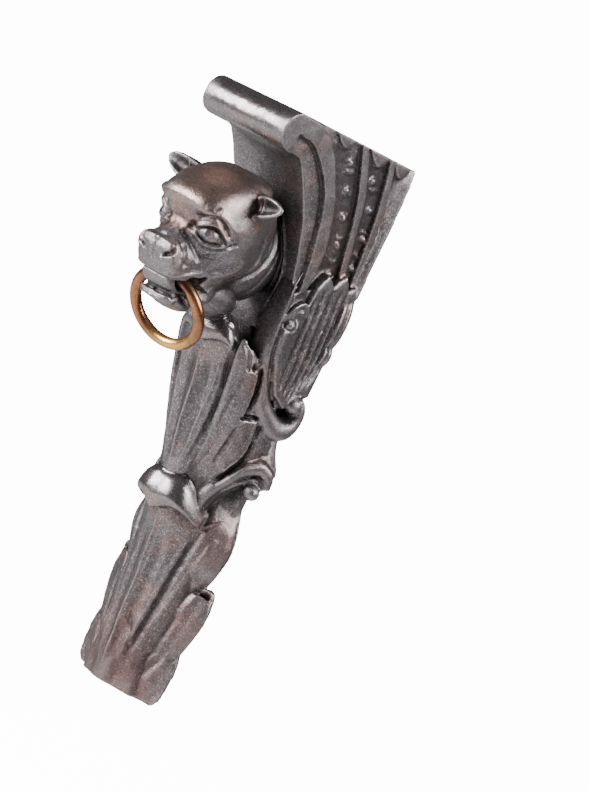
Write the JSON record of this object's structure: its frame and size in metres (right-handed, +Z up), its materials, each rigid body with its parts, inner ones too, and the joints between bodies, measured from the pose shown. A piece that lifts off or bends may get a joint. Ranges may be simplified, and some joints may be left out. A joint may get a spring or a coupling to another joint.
{
  "type": "figural corbel",
  "caption": "Iron corbel: a scrolled, fluted console with a beast's head that holds a loose ring in its jaws, over acanthus leaves that run down to a cut foot.",
  "frame": {"origin": "middle of the width of the flat back, 75 mm below the bearing face on top", "axes": "+Z up; the beast's head looks along -Y, away from the wall; +Y points into the wall; +X is at the right of someone who faces the head"},
  "size_m": [0.081, 0.1256, 0.308],
  "materials": {
    "iron_patina": "dark brown-black burnished patina over a fine sand-cast grain, worn brighter on the fillets, the leaf edges and the brow",
    "copper": "worn copper with a golden sheen and darker tarnish"
  },
  "bodies": {
    "corbel": {"corbel_casting": "iron_patina"},
    "ring": {"mouth_ring": "copper"}
  },
  "joints": [
    {"name": "ring_swing", "type": "hinge", "parent": "corbel", "child": "ring", "pos_m": [0.0022, -0.1073, -0.0237], "axis": [0.9816, 0.1908, 0], "range_deg": [-65, 25]}
  ]
}
